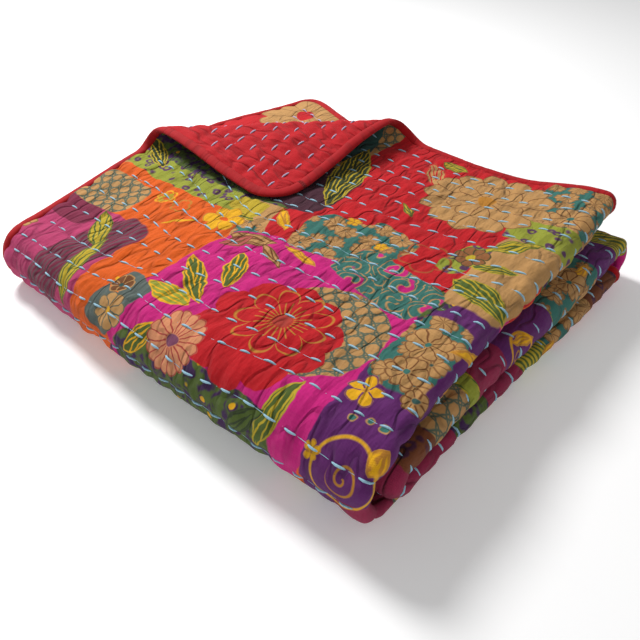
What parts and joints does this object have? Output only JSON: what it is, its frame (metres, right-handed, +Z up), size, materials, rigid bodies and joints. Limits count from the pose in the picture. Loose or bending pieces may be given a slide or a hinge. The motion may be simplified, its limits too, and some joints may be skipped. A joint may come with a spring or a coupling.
{
  "type": "folded quilted blanket",
  "caption": "Hand-quilted printed cotton blanket, folded in half and rolled flat, with a bound edge and one corner turned back.",
  "frame": {"origin": "middle of the folded blanket's box, at the surface it lies on", "axes": "+Z up, +X towards the stacked long folds, +Y towards the back edge with the open loop"},
  "size_m": [0.473, 0.4382, 0.1013],
  "materials": {
    "printed_cotton": "soft quilted cotton with patches of printed flowers and leaves on one side, plain red on the other",
    "red_binding": "rolled plain red cotton"
  },
  "bodies": {
    "root": {"quilt_cloth": "printed_cotton", "edge_binding": "red_binding"}
  },
  "joints": []
}
